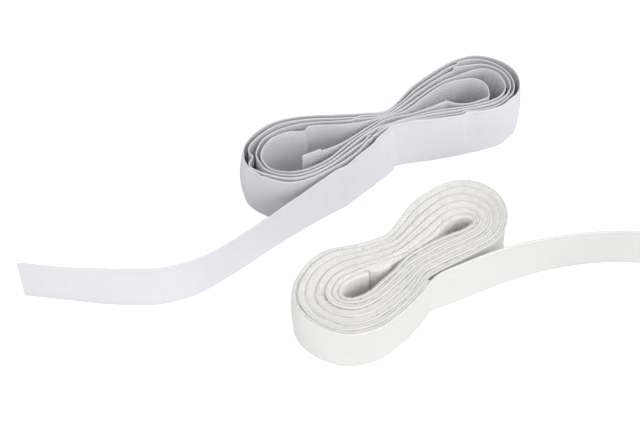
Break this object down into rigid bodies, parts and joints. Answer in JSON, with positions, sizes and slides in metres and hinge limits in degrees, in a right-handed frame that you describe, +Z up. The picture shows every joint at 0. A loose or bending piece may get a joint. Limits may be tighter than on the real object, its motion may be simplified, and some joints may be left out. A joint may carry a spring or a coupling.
{
  "type": "hook and loop tape",
  "caption": "White hook and loop fastening tape: a hook strip and a loop strip, each folded into a hank drawn in at the waist and standing on its edge, with a loose end.",
  "frame": {"origin": "bottom centre of both hanks together, on the surface that the tapes stand on", "axes": "+X along the longest reach, from the end of the hook tape to the end of the loop tape; +Y from the loop hank to the hook hank; +Z up, across the tapes' width"},
  "size_m": [0.2352, 0.153, 0.02],
  "materials": {
    "hook_tape": "close woven ground, bluish white, dull",
    "hook_field": "rows of fine stiff hooks, slightly shiny",
    "loop_tape": "close woven ground, near white, dull",
    "loop_field": "soft brushed loops, creamy white, dull"
  },
  "bodies": {
    "hook_roll": {"hook_roll_tape": "hook_tape", "hook_roll_hooks": "hook_field"},
    "hook_tail": {"hook_tail_tape": "hook_tape", "hook_tail_hooks": "hook_field"},
    "loop_roll": {"loop_roll_tape": "loop_tape", "loop_roll_loops": "loop_field"},
    "loop_tail": {"loop_tail_tape": "loop_tape", "loop_tail_loops": "loop_field"}
  },
  "joints": [
    {"name": "hook_tail_swing", "type": "hinge", "parent": "hook_roll", "child": "hook_tail", "pos_m": [0.02177, 0.0292, 0.01], "axis": [0, 0, 1], "range_deg": [0, 14]},
    {"name": "loop_roll_lift", "type": "slide", "parent": "hook_roll", "child": "loop_roll", "axis": [0, 0, 1], "range_m": [0, 0.05]},
    {"name": "loop_tail_swing", "type": "hinge", "parent": "loop_roll", "child": "loop_tail", "pos_m": [0.03227, -0.05099, 0.01], "axis": [0, 0, -1], "range_deg": [0, 25]}
  ]
}
